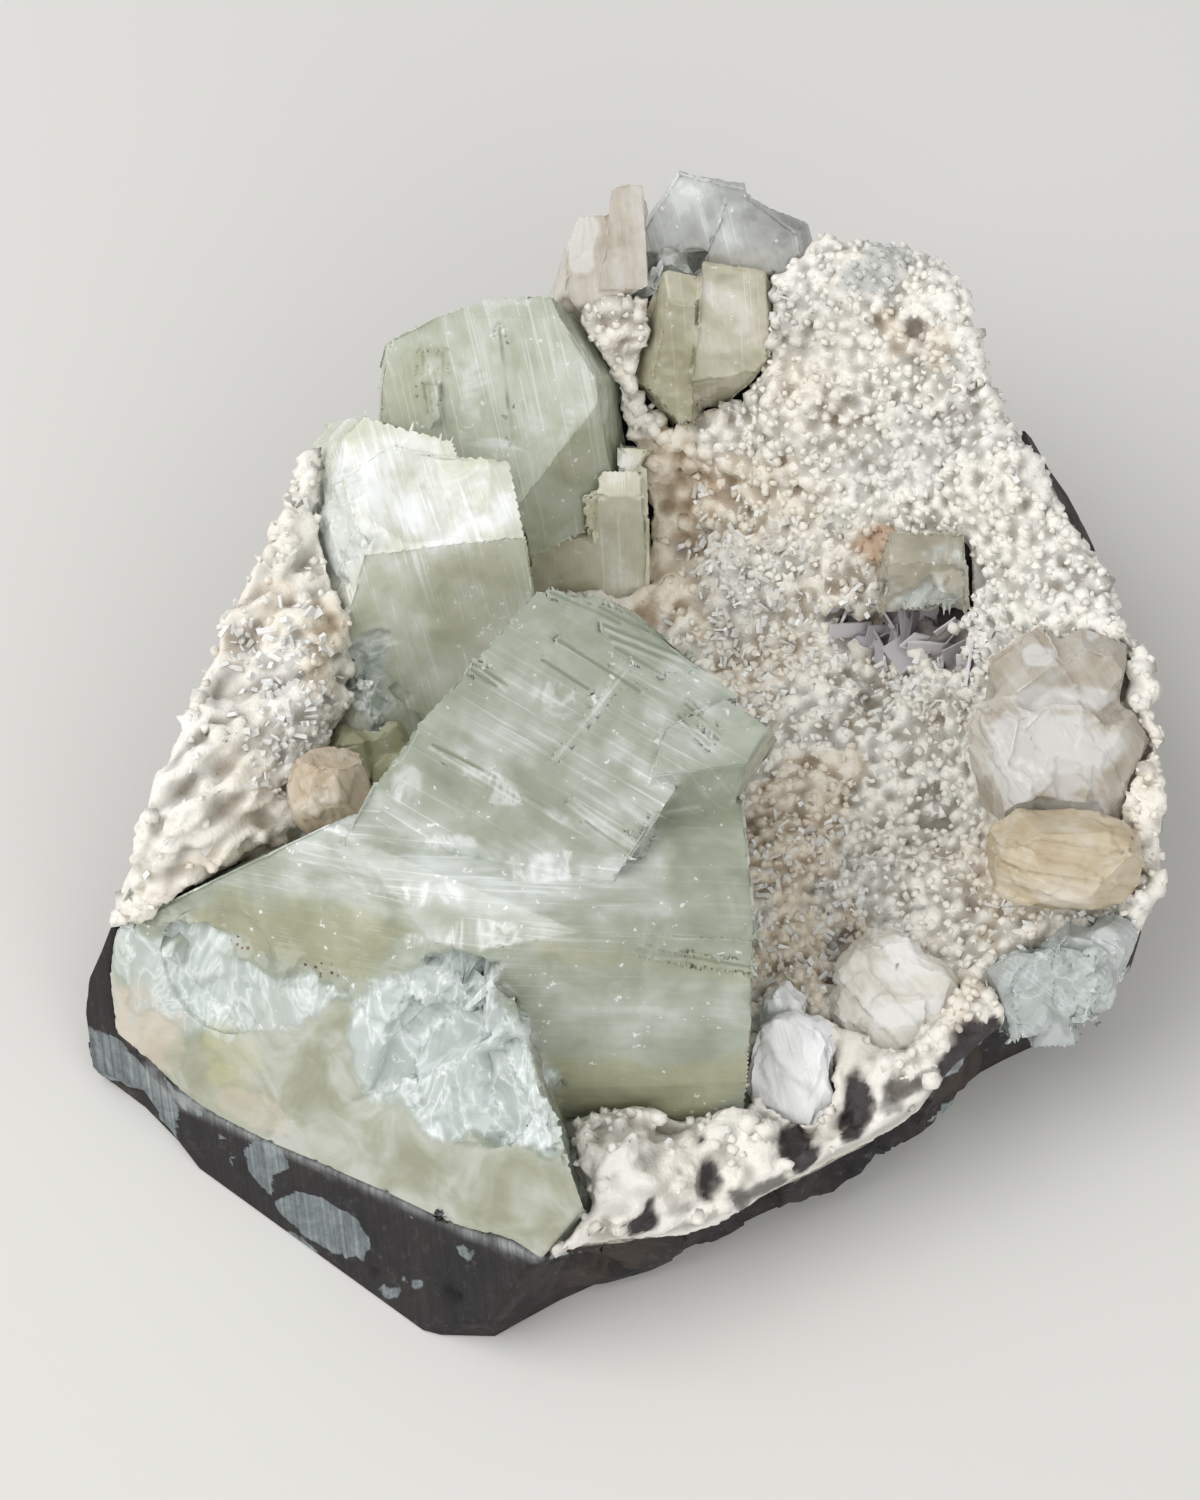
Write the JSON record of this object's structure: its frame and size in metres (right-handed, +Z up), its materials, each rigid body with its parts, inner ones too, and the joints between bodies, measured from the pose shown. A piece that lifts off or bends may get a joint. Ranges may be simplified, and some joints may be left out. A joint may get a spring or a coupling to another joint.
{
  "type": "apophyllite crystal cluster",
  "caption": "Natural mineral specimen: large pale green apophyllite crystals and peach stilbite on white druse lining a hollow in a sawn chunk of dark basalt, resting on a flat cut base.",
  "frame": {"origin": "middle of the object's box, seen from above, at the height of the flat cut base", "axes": "+Z up out of the flat base; -Y towards the front, where the large front crystal and the sawn corner are; +X to the right"},
  "size_m": [0.1066, 0.1092, 0.0504],
  "materials": {
    "basalt": "dark grey-brown basalt with pale filled bubbles, matte; sawn at the lower left and underneath, broken elsewhere",
    "druse": "white to cream drusy crust of small rounded beads",
    "apophyllite": "pale green, cloudy to clear, glassy, finely striated",
    "clear_apophyllite": "clear grey-white, glassy",
    "brown_apophyllite": "brownish grey, clear, glassy",
    "stilbite": "peach to cream, translucent, pearly, finely striated",
    "pearly_apophyllite": "silvery white, pearly cleavage plates"
  },
  "bodies": {
    "root": {"basalt_matrix": "basalt", "druse_crust": "druse", "apophyllite_front": "apophyllite", "apophyllite_left": "apophyllite", "apophyllite_upper_left": "apophyllite", "apophyllite_pocket": "apophyllite", "apophyllite_back": "apophyllite", "apophyllite_small": "apophyllite", "apophyllite_crown": "clear_apophyllite", "clear_cluster": "clear_apophyllite", "apophyllite_right": "brown_apophyllite", "stilbite_top": "stilbite", "stilbite_left": "stilbite", "stilbite_right": "stilbite", "stilbite_cluster": "stilbite", "stilbite_blades": "stilbite", "cleavage_plates": "pearly_apophyllite"}
  },
  "joints": []
}
